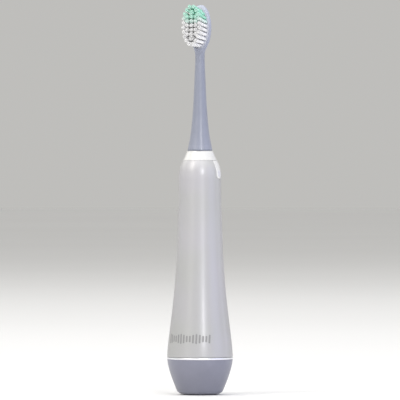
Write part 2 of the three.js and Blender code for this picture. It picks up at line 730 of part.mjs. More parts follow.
function rotor() {
  const magnets = [0, 1, 2, 3].map((i) => node(`rotor_magnet_${i + 1}`, rotorMagnet(i), IRON));
  return assembly(
    HANDLE_Z + MOTOR_Z,
    node("drive_shaft", driveShaft(), STEEL),
    node("rotor_cup", rotorCup(), STEEL),
    ...magnets,
  );
}

// ---- brush head -----------------------------------------------------------------------------------

// A closed skin over rings of points, with a fan at each end.
function loft(rings) {
  const sides = rings[0].length;
  const centre = (ring) => ring.reduce((sum, p) => sum.add(p), new THREE.Vector3()).divideScalar(sides);
  const points = [...rings.flat(), centre(rings[0]), centre(rings.at(-1))];
  const [bottomCentre, topCentre] = [points.length - 2, points.length - 1];
  const index = [];
  for (let i = 0; i < sides; i++) {
    const next = (i + 1) % sides;
    const topRow = (rings.length - 1) * sides;
    index.push(bottomCentre, next, i, topCentre, topRow + i, topRow + next);
    for (let row = 0; row < topRow; row += sides) {
      index.push(row + i, row + next, row + sides + next, row + i, row + sides + next, row + sides + i);
    }
  }
  return new THREE.BufferGeometry().setFromPoints(points).setIndex(index);
}

function neckRing({ z, w, d, y, n }) {
  return Array.from({ length: NECK_SIDES }, (_, i) => {
    const angle = (2 * Math.PI * i) / NECK_SIDES;
    const [c, s] = [Math.cos(angle), Math.sin(angle)];
    const bulge = (v) => Math.sign(v) * Math.abs(v) ** (2 / n);
    return new THREE.Vector3(w * bulge(c), y + d * bulge(s), z);
  });
}

function oval(width, height) {
  const shape = new THREE.Shape();
  shape.absellipse(0, 0, width, height, 0, 2 * Math.PI);
  return shape;
}

// Lays a shape drawn across and up the head onto the head, its back at the given depth behind the face.
function onFace(shape, depth, thickness) {
  const plate = extrude(shape, thickness, 20).rotateX(Math.PI / 2);
  return plate.translate(0, -FACE_DEPTH + depth, 0);
}

// Turns what is drawn about the head's middle into the brush head's frame.
function onHead(geometry) {
  return geometry.rotateX(-HEAD_TILT).translate(0, HEAD_DEPTH, HEAD_CENTRE);
}

function brushNeck() {
  const rings = NECK_STATIONS.map(neckRing);
  const { width, height, thickness } = CARRIER;
  const depth = thickness + FUSED + 0.3;
  const pocket = onHead(onFace(oval(width + SLIP, height + SLIP), depth, depth + 4));
  const boreEnd = [[NECK_BORE, NECK_BORE_DEPTH], [0, NECK_BORE_DEPTH + 1.5]];
  const bore = revolve([[0, -1], [NECK_BORE, -1], ...boreEnd]);
  return cut(loft(rings), pocket, bore, disc(NECK_MOUTH.radius, -1, NECK_MOUTH.depth));
}

function neckCoupling() {
  const bore = disc(SHAFT_RADIUS + 0.12, 0, 40);
  const flatted = cut(bore, block([-3, SHAFT_FLAT + 0.12, 8], [3, 3, 40]));
  const sleeve = disc(NECK_BORE - 0.1, 2.7, 26.6);
  return cut(sleeve, flatted);
}

// Middles of the tufts across and up the face: an outer oval ring, and three straight columns inside it.
function tuftPlaces() {
  const ring = [];
  const curve = new THREE.EllipseCurve(0, 0, RING.width, RING.height);
  for (let i = 0; i < RING.count; i++) ring.push(curve.getPointAt((i + 0.5) / RING.count));
  const middle = [-3, -2, -1, 0, 1, 2, 3].map((row) => new THREE.Vector2(0, row * ROW_PITCH));
  const sides = [-2, -1, 0, 1, 2].flatMap((row) =>
    [-1, 1].map((side) => new THREE.Vector2(side * COLUMN_PITCH, row * ROW_PITCH)));
  return [...ring, ...middle, ...sides];
}

// A straight tuft, or its hole, through the face at a place, sloping up away from the head.
function tuftRod({ x, y }, radius, behind, ahead) {
  const rod = new THREE.CylinderGeometry(radius, radius, behind + ahead, 6);
  rod.translate(0, (behind - ahead) / 2, 0).rotateX(-TUFT_TILT);
  return rod.translate(x, -FACE_DEPTH, y);
}

function bristleCarrier() {
  const { width, height, thickness } = CARRIER;
  const plate = onFace(oval(width, height), thickness, thickness);
  const holes = tuftPlaces().map((place) => tuftRod(place, TUFT_RADIUS + 0.12, 4, 2));
  return onHead(cut(plate, ...holes));
}

// The top of the fused sheet, which steps round the highest white tufts on both sides.
function greenZone(margin) {
  const { x, inner, outer } = GREEN_STEP;
  const middle = block([-x - margin, -10, inner - margin], [x + margin, 10, 20]);
  return join(middle, block([-10, -10, outer - margin], [10, 10, 20]));
}

// The tufts of one colour with the sheet that fuses their roots together.
function bristles(isGreen) {
  const back = CARRIER.thickness + 0.1 + FUSED;
  const whole = onFace(oval(CARRIER.width - 0.1, CARRIER.height - 0.1), back, FUSED);
  const sheet = isGreen ? common(whole, greenZone(0)) : cut(whole, greenZone(0.12));
  const places = tuftPlaces().filter(({ y }) => y > GREEN_ABOVE === isGreen);
  const tufts = places.map((place) => tuftRod(place, TUFT_RADIUS, back - 0.1, TUFT_LENGTH));
  return onHead(join(sheet, ...tufts));
}

function brushHead() {
  return assembly(
    HEAD_Z,
    node("brush_neck", brushNeck(), MIST),
    node("neck_coupling", neckCoupling(), STEEL),
    node("bristle_carrier", bristleCarrier(), MIST),
    node("bristles_white", bristles(false), NYLON_WHITE),
    node("bristles_green", bristles(true), NYLON_GREEN),
  );
}

// ---- the whole object -----------------------------------------------------------------------------

const toothbrush = new THREE.Group();
toothbrush.add(
  charger(),
  handle(),
  assembly(HANDLE_Z, node("power_button", powerButton(), WHITE)),
  assembly(HANDLE_Z, node("switch_plunger", switchPlunger(), CHIP)),
  rotor(),
  brushHead(),
);

export default toothbrush;
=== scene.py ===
import math
import random

import bmesh
import bpy
import numpy as np
from mathutils import Matrix, Vector


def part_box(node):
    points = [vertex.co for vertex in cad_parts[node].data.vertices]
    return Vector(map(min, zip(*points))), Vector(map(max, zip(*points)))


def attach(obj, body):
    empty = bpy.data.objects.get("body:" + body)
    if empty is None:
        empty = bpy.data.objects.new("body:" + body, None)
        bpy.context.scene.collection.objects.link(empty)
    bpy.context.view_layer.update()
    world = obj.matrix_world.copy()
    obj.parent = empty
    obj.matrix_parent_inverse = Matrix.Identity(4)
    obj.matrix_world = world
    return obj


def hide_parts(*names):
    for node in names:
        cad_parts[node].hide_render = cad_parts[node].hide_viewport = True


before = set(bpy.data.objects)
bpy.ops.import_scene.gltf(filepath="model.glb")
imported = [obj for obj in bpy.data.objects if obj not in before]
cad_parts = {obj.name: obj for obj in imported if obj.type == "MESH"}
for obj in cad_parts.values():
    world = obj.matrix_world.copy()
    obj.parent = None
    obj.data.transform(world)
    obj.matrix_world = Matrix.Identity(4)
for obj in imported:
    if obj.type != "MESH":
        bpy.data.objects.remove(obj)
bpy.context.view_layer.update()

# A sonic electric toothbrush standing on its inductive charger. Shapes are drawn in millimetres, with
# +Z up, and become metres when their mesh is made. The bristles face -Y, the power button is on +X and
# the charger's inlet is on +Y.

MM = 0.001
SIDES = 160  # round the visible casings
FINE_SIDES = 64  # round smaller pieces

LEDGE = 0.8  # a corner this far inside its neighbours isn't on a casing's outside
HANDLE_WALL = 1.8
BOWL_WALL = 2.0
WINDOW_HALF = 3.0  # half the width of the casing's opening for the power button
WINDOW_BOTTOM = 132.8
WINDOW_CORNER = 2.9
BUTTON_SLIP = 0.15  # between the button and the opening
NESTLE = 0.15  # how much closer the handle and the neck sit to what they stand on than the CAD's clearances
INLET_HALF = (4.7, 1.85)  # half the width and height of the bowl's opening for the power inlet
INLET_CORNER = 1.4
SHAFT_FLAT = 1.4  # distance of the driving flat from the shaft's axis
SHAFT_FLAT_LENGTH = 18.0
BOSS_CIRCLE = 8.2  # where the charger's three screw bosses stand

HEAD_CENTRE = 75.1  # height of the bristle field's middle above the neck's lower edge
HEAD_DEPTH = 0.8
HEAD_TILT = math.radians(1)
TUFT_TILT = math.radians(8)
FACE_DEPTH = 2.1  # from the head's middle plane to its front face
CARRIER = (6.2, 12.65)  # half the width and height of the plate that holds the tufts
CARRIER_THICKNESS = 1.3
POCKET_DEPTH = 2.05
TUFT_RING = (5.2, 11.55)
ROOT_SHARE = 0.95  # the tufts spread from this share of their places at the roots ...
TIP_SHARE = 1.02  # ... to this share at the tips
TUFT_RING_COUNT = 20
TUFT_PITCH = (2.85, 2.6)
TUFT_LENGTH = 12.5
GREEN_ABOVE = 4.5  # tufts higher than this above the middle are green
MIXED_SHARE = 0.45  # how much of the next row down is green too
FILAMENTS = 84  # in each tuft
SPREAD = 0.82  # of the filaments' roots from the middle of their tuft
FLARE = 0.41  # how much further out the tips are, as a share of that
END_FLARE = 0.95  # the same for the tufts at the ends of the middle column, which have more room
WANDER = 0.05  # of each tip from its place, at random
FILAMENT_RADIUS = 0.092
TUFT_HOLE = 0.95  # radius of the plate's holes

# The brush neck and head: height above the neck's lower edge, half width, half depth, distance of the
# middle behind the shaft's axis, and squareness.
NECK_STATIONS = np.array([
    (0, 7.75, 7.75, 0, 2),
    (4, 6.93, 6.93, 0, 2),
    (9.5, 5.9, 5.9, 0, 2),
    (18, 4.93, 4.93, 0, 2),
    (30, 4.05, 4.05, 0, 2),
    (45, 3.36, 3.4, 0, 2),
    (56, 2.9, 3, -0.05, 2),
    (60.5, 3.15, 2.8, -0.05, 2.2),
    (63.5, 4.3, 2.65, 0.15, 2.6),
    (67, 5.85, 2.5, 0.5, 3),
    (71, 6.7, 2.45, 0.7, 3.2),
    (75.25, 7.05, 2.4, 0.8, 3.2),
    (80, 6.65, 2.35, 0.88, 3.2),
    (84.5, 5.5, 2.25, 0.96, 3),
    (87.6, 3.8, 2.0, 1, 2.6),
    (89.2, 2.1, 1.4, 1.05, 2.2),
    (89.65, 0.9, 0.7, 1.06, 2),
])


# ---- measuring the frame --------------------------------------------------------------------------

def low(node):
    """The node's lowest corner in millimetres."""
    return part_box(node)[0] / MM


def high(node):
    """The node's highest corner in millimetres."""
    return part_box(node)[1] / MM


def outline(node, bottom=0.0):
    """The outermost [radius, height] points on the node's -X side, above a height, from the bottom up."""
    widest = {}
    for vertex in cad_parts[node].data.vertices:
        x, y, z = vertex.co / MM
        if x < 0 and abs(y) < 0.001 and z > bottom - 0.001:
            level = round(z, 2)
            widest[level] = max(widest.get(level, 0.0), -x)
    points = [(widest[level], level) for level in sorted(widest)]
    while True:  # a level where only an inner ledge has a corner is left out
        inset = [
            np.interp(z, (z0, z2), (r0, r2)) - r
            for (r0, z0), (r, z), (r2, z2) in zip(points, points[1:], points[2:])
        ]
        if max(inset) < LEDGE:
            return np.array(points)
        points.pop(1 + int(np.argmax(inset)))


HANDLE_BOTTOM = low("handle_shell").z
SEAM = high("handle_shell").z
COLLAR_BOTTOM = SEAM + 0.1
COLLAR_TOP = high("handle_collar").z
NECK_BOTTOM = low("brush_neck").z
BOWL_TOP = high("charger_bowl").z
DECK_BOTTOM = low("charger_transmit_coil").z
PEG_TOP = high("charger_top_cover").z


# ---- curves and skins -----------------------------------------------------------------------------

def smooth(points, steps):
    """Points along a smooth curve through the rows given, with this many steps to each span."""
    ends = np.vstack([2 * points[0] - points[1], points, 2 * points[-1] - points[-2]])
    curve = []
    for a, b, c, d in zip(ends, ends[1:], ends[2:], ends[3:]):
        for t in np.arange(steps) / steps:
            even = 2 * b + (c - a) * t + (2 * a - 5 * b + 4 * c - d) * t**2 + (3 * b - a - 3 * c + d) * t**3
            curve.append(even / 2)
    return np.array([*curve, points[-1]])


def relaxed(points, rounds):
    """The same points after each has been drawn towards its neighbours a number of times."""
    for _ in range(rounds):
        points[1:-1] = (points[:-2] + 2 * points[1:-1] + points[2:]) / 4
    return points


def rounded(corners, steps=5):
    """The points round a closed outline of (radius, height, corner radius) corners."""
    points = []
    for i, (r, z, corner) in enumerate(corners):
        here = np.array([r, z])
        if not corner:
            points.append(here)
            continue
        back = np.array(corners[i - 1][:2]) - here
        ahead = np.array(corners[(i + 1) % len(corners)][:2]) - here
        back, ahead = back / np.linalg.norm(back), ahead / np.linalg.norm(ahead)
        half = math.acos(np.clip(back @ ahead, -1, 1)) / 2
        middle = (back + ahead) / np.linalg.norm(back + ahead) * corner / math.sin(half)
        start, end = back * corner / math.tan(half) - middle, ahead * corner / math.tan(half) - middle
        turn = math.pi - 2 * half
        for t in np.linspace(0, 1, steps + 1):
            arm = (math.sin((1 - t) * turn) * start + math.sin(t * turn) * end) / math.sin(turn)
            points.append(here + middle + arm)
    return points


def circle(radius, sides=32):
    """The points round a circle."""
    angles = 2 * math.pi * np.arange(sides) / sides
    return radius * np.column_stack([np.cos(angles), np.sin(angles)])


def with_radius(points, corner=0.0):
    """(radius, height, corner radius) corners from [radius, height] points."""
    return [(r, z, corner) for r, z in points]


def revolve(points, sides=SIDES):
    """A ring of points round Z for each [radius, height], or one point where it is on the axis."""
    angles = 2 * math.pi * np.arange(sides) / sides
    rings = []
    for r, z in points:
        ring = np.column_stack([r * np.cos(angles), r * np.sin(angles), np.full(sides, z)])
        rings.append(ring if r > 1e-6 else ring[:1])
    return rings


def skin(rings, closed=False):
    """The points and faces of a skin over rings. A ring of one point closes an end like a fan."""
    starts = np.cumsum([0] + [len(ring) for ring in rings])
    faces = []
    for i in range(len(rings) if closed else len(rings) - 1):
        j = (i + 1) % len(rings)
        a, b, sides = starts[i], starts[j], max(len(rings[i]), len(rings[j]))
        for k in range(sides if sides > 1 else 0):
            n = (k + 1) % sides
            if len(rings[i]) == 1:
                faces.append((a, b + n, b + k))
            elif len(rings[j]) == 1:
                faces.append((a + k, a + n, b))
            else:
                faces.append((a + k, a + n, b + n, b + k))
    return np.vstack(rings), [tuple(int(v) for v in face) for face in faces]


def finish_mesh(made, sharp=32):
    """Turns all faces outwards and shades them smooth, but not across edges sharper than this angle."""
    shape = bmesh.new()
    shape.from_mesh(made.data)
    bmesh.ops.remove_doubles(shape, verts=shape.verts, dist=1e-7)
    bmesh.ops.recalc_face_normals(shape, faces=shape.faces)
    shape.to_mesh(made.data)
    shape.free()
    made.data.shade_smooth()
    made.data.set_sharp_from_angle(angle=math.radians(sharp))


def new_object(name, points, faces, *finishes):
    """An object from points in millimetres and faces, with its materials."""
    mesh = bpy.data.meshes.new(name)
    mesh.from_pydata((np.asarray(points) * MM).tolist(), [], faces)
    for finish in finishes:
        mesh.materials.append(finish)
    made = bpy.data.objects.new(name, mesh)
    bpy.context.scene.collection.objects.link(made)
    finish_mesh(made)
    return made


def turned(name, corners, *finishes, sides=SIDES):
    """A solid of revolution from the corners round its section."""
    return new_object(name, *skin(revolve(rounded(corners), sides), closed=True), *finishes)


def combine(made, tool, operation="DIFFERENCE"):
    """Cuts the tool out of a piece, or joins it on, and removes the tool."""
    step = made.modifiers.new(operation, "BOOLEAN")
    step.operation = operation
    step.solver = "EXACT"
    step.object = tool
    graph = bpy.context.evaluated_depsgraph_get()
    result = bpy.data.meshes.new_from_object(made.evaluated_get(graph))
    made.modifiers.clear()
    made.data = result
    bpy.data.objects.remove(tool)
    finish_mesh(made)


def capped(rings):
    """The rings between the middles of the first and the last, which close their skin at both ends."""
    return [rings[0].mean(axis=0)[None], *rings, rings[-1].mean(axis=0)[None]]


def merged(shapes):
    """One set of points and faces from those of several shapes."""
    points, faces, count = [], [], 0
    for some_points, some_faces in shapes:
        points.append(some_points)
        faces += [tuple(v + count for v in face) for face in some_faces]
        count += len(some_points)
    return np.vstack(points), faces


def place(piece, name_of_body, slot, *nodes):
    """Hands a piece to the frame, attached to the body it rides on, and hides the CAD nodes it stands for.
    The slot is not used.
    """
    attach(piece, name_of_body)
    if nodes:
        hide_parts(*nodes)


# ---- materials ------------------------------------------------------------------------------------

MIX_FIRST, MIX_SECOND, MIX_RESULT = 6, 7, 2  # the colour sockets of a Mix node


def shade(color, factor):
    """The colour made lighter or darker."""
    return (*[min(1.0, c * factor) for c in color], 1.0)


class Finish:
    """A procedural material under construction, with its patterns in metres in the piece's own frame."""

    def __init__(self, name, color, roughness, metallic=0.0, **sockets):
        self.material = bpy.data.materials.new(name)
        self.material.use_nodes = True
        self.nodes = self.material.node_tree.nodes
        self.links = self.material.node_tree.links
        self.shader = self.nodes["Principled BSDF"]
        self.color, self.roughness = color, roughness
        self.place = self.nodes.new("ShaderNodeTexCoord").outputs["Object"]
        self.relief = None
        self.shader.inputs["Metallic"].default_value = metallic
        self.shader.inputs["Roughness"].default_value = roughness
        self.shader.inputs["Base Color"].default_value = (*color, 1.0)
        for socket, value in sockets.items():
            self.shader.inputs[socket.replace("_", " ")].default_value = value

    def stretched(self, scale):
        """Coordinates scaled differently along each axis."""
        node = self.nodes.new("ShaderNodeMapping")
        node.inputs["Scale"].default_value = scale
        self.links.new(self.place, node.inputs["Vector"])
        return node.outputs["Vector"]

    def noise(self, size, detail=3.0, stretch=(1, 1, 1)):
        """Soft random patches of about this size in millimetres."""
        node = self.nodes.new("ShaderNodeTexNoise")
        node.inputs["Scale"].default_value = 1 / (size * MM)
        node.inputs["Detail"].default_value = detail
        self.links.new(self.stretched(stretch), node.inputs["Vector"])
        return node.outputs["Fac"]

    def cells(self, size):
        """A random value for each small cell of about this size in millimetres."""
        node = self.nodes.new("ShaderNodeTexVoronoi")
        node.inputs["Scale"].default_value = 1 / (size * MM)
        self.links.new(self.place, node.inputs["Vector"])
        split = self.nodes.new("ShaderNodeSeparateColor")
        self.links.new(node.outputs["Color"], split.inputs["Color"])
        return split.outputs["Red"]

    def bands(self, size, axis="Z"):
        """Even ridges across an axis, this many millimetres apart."""
        node = self.nodes.new("ShaderNodeTexWave")
        node.bands_direction = axis
        node.inputs["Scale"].default_value = math.pi / 10 / (size * MM)
        self.links.new(self.place, node.inputs["Vector"])
        return node.outputs["Fac"]

    def ramp(self, factor, *stops):
        """A colour for each value of a factor, from (position, colour) stops."""
        node = self.nodes.new("ShaderNodeValToRGB")
        while len(node.color_ramp.elements) < len(stops):
            node.color_ramp.elements.new(0.5)
        for element, (position, color) in zip(node.color_ramp.elements, stops):
            element.position, element.color = position, color
        self.links.new(factor, node.inputs["Fac"])
        return node.outputs["Color"]

    def times(self, first, second):
        """The product of two colour sockets."""
        node = self.nodes.new("ShaderNodeMix")
        node.data_type = "RGBA"
        node.blend_type = "MULTIPLY"
        node.inputs["Factor"].default_value = 1.0
        self.links.new(first, node.inputs[MIX_FIRST])
        self.links.new(second, node.inputs[MIX_SECOND])
        return node.outputs[MIX_RESULT]

    def height(self, stops):
        """A colour by the height of each point, from (millimetres, colour) stops."""
        split = self.nodes.new("ShaderNodeSeparateXYZ")
        self.links.new(self.place, split.inputs["Vector"])
        lowest, highest = stops[0][0], stops[-1][0]
        scaled = self.nodes.new("ShaderNodeMapRange")
        scaled.inputs["From Min"].default_value = lowest * MM
        scaled.inputs["From Max"].default_value = highest * MM
        self.links.new(split.outputs["Z"], scaled.inputs["Value"])
        reach = highest - lowest
        return self.ramp(scaled.outputs["Result"], *[((z - lowest) / reach, c) for z, c in stops])

    def paint(self, color):
        """Connects the surface's colour."""
        self.links.new(color, self.shader.inputs["Base Color"])
        return self

    def mottle(self, size, amount):
        """Slightly lighter and darker patches of the base colour."""
        return self.ramp(
            self.noise(size),
            (0.32, shade(self.color, 1 - amount)),
            (0.68, shade(self.color, 1 + amount)),
        )

    def uneven(self, factor, amount):
        """Roughness that varies with a factor."""
        node = self.nodes.new("ShaderNodeMapRange")
        node.inputs["From Min"].default_value = 0.3
        node.inputs["From Max"].default_value = 0.7
        node.inputs["To Min"].default_value = max(0.02, self.roughness - amount)
        node.inputs["To Max"].default_value = self.roughness + amount
        self.links.new(factor, node.inputs["Value"])
        self.links.new(node.outputs["Result"], self.shader.inputs["Roughness"])
        return self

    def bump(self, factor, microns):
        """A relief of this many microns, on top of any added before."""
        node = self.nodes.new("ShaderNodeBump")
        node.inputs["Strength"].default_value = 1.0
        node.inputs["Distance"].default_value = microns * 1e-6
        self.links.new(factor, node.inputs["Height"])
        if self.relief:
            self.links.new(self.relief, node.inputs["Normal"])
        self.relief = node.outputs["Normal"]
        self.links.new(self.relief, self.shader.inputs["Normal"])
        return self


def plain_finish(name, color, roughness, metallic=0.0, size=2.0, amount=0.05, relief=4.0, **sockets):
    """A moulded or machined surface: faint patches, uneven gloss and a fine relief."""
    finish = Finish(name, color, roughness, metallic, **sockets)
    finish.paint(finish.mottle(size, amount))
    finish.uneven(finish.noise(size / 3), roughness * 0.15)
    return finish.bump(finish.noise(size / 8), relief)


def pearl():
    """Silvery pearlescent plastic: fine flakes under a clear coat, a faint drift, and a shoulder painted
    paler as a highlight.
    """
    finish = Finish(
        "pearl_casing", (0.452, 0.452, 0.467), 0.36, 0.12,
        Coat_Weight=0.3, Coat_Roughness=0.2, Specular_IOR_Level=0.5,
    )
    drift = finish.ramp(
        finish.noise(28, 1.0),
        (0.35, (0.462, 0.466, 0.467, 1)),
        (0.65, (0.482, 0.477, 0.506, 1)),
    )
    flakes = finish.ramp(finish.cells(0.09), (0.0, (0.90, 0.90, 0.90, 1)), (1.0, (1, 1, 1, 1)))
    # the shoulder painted paler, as a highlight from above
    shaded = finish.times(drift, finish.height(PEARL_PAINTED_LIGHT))
    finish.paint(finish.times(shaded, flakes))
    finish.uneven(finish.noise(1.5), 0.03)
    finish.bump(finish.cells(0.09), 0.35)
    return finish.bump(finish.noise(6, 1.0), 1.5)


def frosted(name, color, gloss, stops):
    """Frosted, slightly translucent moulded plastic with a satin grain, its colour painted lighter and
    darker by height as light and shade.
    """
    finish = Finish(
        name, color, 0.42,
        Coat_Weight=gloss, Coat_Roughness=0.22,
        Sheen_Weight=0.15, Sheen_Roughness=0.35,
        Subsurface_Weight=0.12, Subsurface_Scale=0.0015, Subsurface_Radius=(1, 1, 1),
    )
    # painted light and shade by height
    finish.paint(finish.times(finish.mottle(9, 0.035), finish.height(stops)))
    finish.uneven(finish.noise(0.8), 0.04)
    return finish.bump(finish.noise(0.16, 2.0), 1.6)


def nylon(name, color, tip, root):
    """Translucent filaments: each a little lighter or darker, with tips painted lighter as a highlight and
    roots painted darker as shade.
    """
    finish = Finish(name, color, 0.38, Sheen_Weight=0.5, Sheen_Roughness=0.5)
    strands = finish.ramp(
        finish.noise(0.22, 1.0, (1, 0.12, 1)),
        (0.3, shade(color, 0.93)),
        (0.7, shade(color, 1.03)),
    )
    split = finish.nodes.new("ShaderNodeSeparateXYZ")
    finish.links.new(finish.place, split.inputs["Vector"])
    along = finish.nodes.new("ShaderNodeMapRange")
    along.inputs["From Min"].default_value = -(FACE_DEPTH + TUFT_LENGTH) * MM
    along.inputs["From Max"].default_value = -FACE_DEPTH * MM
    finish.links.new(split.outputs["Y"], along.inputs["Value"])
    # painted light and shade: the tip colour is a painted highlight, the root colour painted shade deep in
    # the tufts
    tip_highlight_and_root_shade = finish.ramp(
        along.outputs["Result"],
        (0.08, (*tip, 1)),
        (0.4, (1, 1, 1, 1)),
        (0.75, (1, 1, 1, 1)),
        (1.0, (*root, 1)),
    )
    return finish.paint(finish.times(strands, tip_highlight_and_root_shade))


def wound_copper():
    """Enamelled wire in close turns, painted darker between the turns as shade."""
    finish = Finish("copper_wire", (0.62, 0.27, 0.11), 0.3, 0.9, Coat_Weight=0.5, Coat_Roughness=0.1)
    # dark between the turns: painted shade
    finish.paint(finish.ramp(
        finish.bands(0.3),
        (0.0, (0.30, 0.10, 0.04, 1)),
        (0.6, (0.66, 0.30, 0.13, 1)),
    ))
    return finish.bump(finish.bands(0.3), 60)


def brushed(name, color, roughness, microns=2.0):
    """Metal with fine marks of turning round it."""
    finish = Finish(name, color, roughness, 1.0)
    marks = finish.noise(0.5, 2.0, (0.1, 0.1, 4))
    finish.paint(finish.mottle(3, 0.05))
    finish.uneven(marks, roughness * 0.3)
    return finish.bump(marks, microns)


def circuit_board():
    """Green laminate with faint tracks and a woven ground."""
    finish = Finish("laminate", (0.02, 0.16, 0.07), 0.35, Coat_Weight=0.6, Coat_Roughness=0.15)
    tracks = finish.ramp(
        finish.bands(1.1, "DIAGONAL"),
        (0.62, (0.018, 0.15, 0.065, 1)),
        (0.70, (0.05, 0.26, 0.11, 1)),
    )
    weave = finish.ramp(finish.noise(0.3), (0.3, (0.85, 0.85, 0.85, 1)), (0.7, (1, 1, 1, 1)))
    finish.paint(finish.times(tracks, weave))
    return finish.bump(finish.bands(1.1, "DIAGONAL"), 10)


# Painted light on the casing at each height: paler towards the shoulder, as if lit from above.
PEARL_PAINTED_LIGHT = [
    (SEAM - 12, (1, 1, 1, 1)),
    (SEAM - 6, (1.10, 1.10, 1.09, 1)),
    (SEAM, (1.30, 1.30, 1.27, 1)),
]
# Painted light on the bowl at each height: lighter towards its top, as if lit from above.
BOWL_PAINTED_LIGHT = [
    (0, (0.96, 0.96, 0.96, 1)),
    (9, (1, 1, 1, 1)),
    (BOWL_TOP, (1.15, 1.15, 1.16, 1)),
]
# Painted light and shade on the neck at each height: it pales towards its foot as a painted reflection, a
# thin dark line there is a painted shadow in the gap above the collar, and the head is painted paler as
# light through its thin plastic.
NECK_PAINTED_LIGHT_AND_SHADE = [
    (NECK_BOTTOM, (0.80, 0.80, 0.80, 1)),
    (NECK_BOTTOM + 0.6, (0.82, 0.82, 0.82, 1)),
    (NECK_BOTTOM + 0.9, (1.16, 1.15, 1.14, 1)),
    (NECK_BOTTOM + 3.0, (1.14, 1.13, 1.12, 1)),
    (NECK_BOTTOM + 3.4, (1.08, 1.07, 1.06, 1)),
    (NECK_BOTTOM + 30, (1, 1, 1, 1)),
    (NECK_BOTTOM + HEAD_CENTRE - 14, (1.03, 1.03, 1.03, 1)),
    (NECK_BOTTOM + HEAD_CENTRE, (1.35, 1.34, 1.32, 1)),
    (NECK_BOTTOM + HEAD_CENTRE + 10, (1.9, 1.88, 1.8, 1)),
]

PEARL = pearl()
WHITE = plain_finish("white_plastic", (0.77, 0.77, 0.76), 0.2, size=8, amount=0.015, relief=1.5,
                     Coat_Weight=0.5, Coat_Roughness=0.06)
PAD = plain_finish("button_pad", (0.62, 0.62, 0.67), 0.45, size=3, amount=0.03, relief=2.0,
                   Sheen_Weight=0.3)
SLATE = frosted("frosted_slate", (0.198, 0.203, 0.257), 0.12, BOWL_PAINTED_LIGHT)
MIST = frosted("frosted_mist", (0.247, 0.266, 0.336), 0.35, NECK_PAINTED_LIGHT_AND_SHADE)
# lighter than the neck's plastic, as painted light in the gaps between the tufts
PLATE = plain_finish("tuft_plate_plastic", (0.52, 0.54, 0.61), 0.35, size=3, amount=0.02, relief=2)
# the last two colours: a painted highlight at the tips and painted shade at the roots
NYLON_WHITE = nylon("nylon_white", (0.97, 0.97, 0.98), (1, 1, 1), (0.95, 0.95, 0.97))
NYLON_GREEN = nylon("nylon_green", (0.42, 0.93, 0.74), (1.7, 1.05, 1.2), (0.9, 0.97, 0.95))
RUBBER = plain_finish("rubber", (0.075, 0.078, 0.09), 0.75, size=0.6, amount=0.15, relief=9)
NATURAL = plain_finish("natural_plastic", (0.72, 0.70, 0.62), 0.45, size=5, amount=0.04, relief=3,
                       Subsurface_Weight=0.1, Subsurface_Scale=0.002)
CHROME = plain_finish("chrome", (0.90, 0.91, 0.95), 0.36, 0.8, size=4, amount=0.01, relief=0.6,
                      Coat_Weight=0.2)
STEEL = brushed("steel", (0.48, 0.49, 0.50), 0.3)
IRON = brushed("core_iron", (0.16, 0.16, 0.17), 0.45, 4.0)
COPPER = wound_copper()
BRASS = brushed("brass", (0.62, 0.44, 0.14), 0.25)
FERRITE = plain_finish("ferrite", (0.03, 0.03, 0.033), 0.6, size=0.3, amount=0.25, relief=6)
LAMINATE = circuit_board()
CHIP = plain_finish("chip_black", (0.012, 0.012, 0.013), 0.45, size=0.4, amount=0.2, relief=3)
SLEEVE = plain_finish("cell_sleeve", (0.03, 0.15, 0.42), 0.3, size=6, amount=0.06, relief=3,
                      Coat_Weight=0.4)
INK = plain_finish("mark_ink", (0.27, 0.27, 0.275), 0.5, size=0.5, amount=0.06, relief=1.5)

FINISHES = [
    PEARL, WHITE, SLATE, MIST, NYLON_WHITE, NYLON_GREEN, RUBBER, NATURAL, CHROME, STEEL, IRON, COPPER,
    BRASS, FERRITE, LAMINATE, CHIP, SLEEVE,
]


def refinish_cad():
    """Gives every CAD node the procedural material of the slot that it has in the record."""
    by_slot = {finish.material.name.split(".")[0]: finish.material for finish in FINISHES}
    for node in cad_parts.values():
        for slot in node.material_slots:
            slot.material = by_slot[slot.material.name.split(".")[0]]


# ---- charger --------------------------------------------------------------------------------------

def at_bosses(points):
    """The points moved to each of the charger's three screw places."""
    for i in range(3):
        angle = 2 * math.pi * i / 3 - math.pi / 2
        yield points + np.array([BOSS_CIRCLE * math.cos(angle), BOSS_CIRCLE * math.sin(angle), 0])


def boss_rods(corners):
    """A solid of revolution at each screw place, as one tool."""
    points, faces = skin(revolve(rounded(corners), 32), closed=True)
    return new_object("tool", *merged([(moved, faces) for moved in at_bosses(points)]))


def foot():
    """The rubber foot, with round treads in its underside."""
    radius, top = high("charger_foot").x, high("charger_foot").z
    mouth, floor, depth, corner = 0.4, 0.3, 0.35, 0.12  # a groove's half widths, depth and corners
    corners = [(0, 0, 0)]
    for groove in (2.4, 4.6, 6.8, 9.0):
        corners += [
            (groove - mouth, 0, corner), (groove - floor, depth, corner),
            (groove + floor, depth, corner), (groove + mouth, 0, corner),
        ]
    corners += [(radius, 0, 0.35), (radius, top, 0.15), (0, top, 0)]
    place(turned("foot_pad", corners, RUBBER.material), "charger", "rubber", "charger_foot")


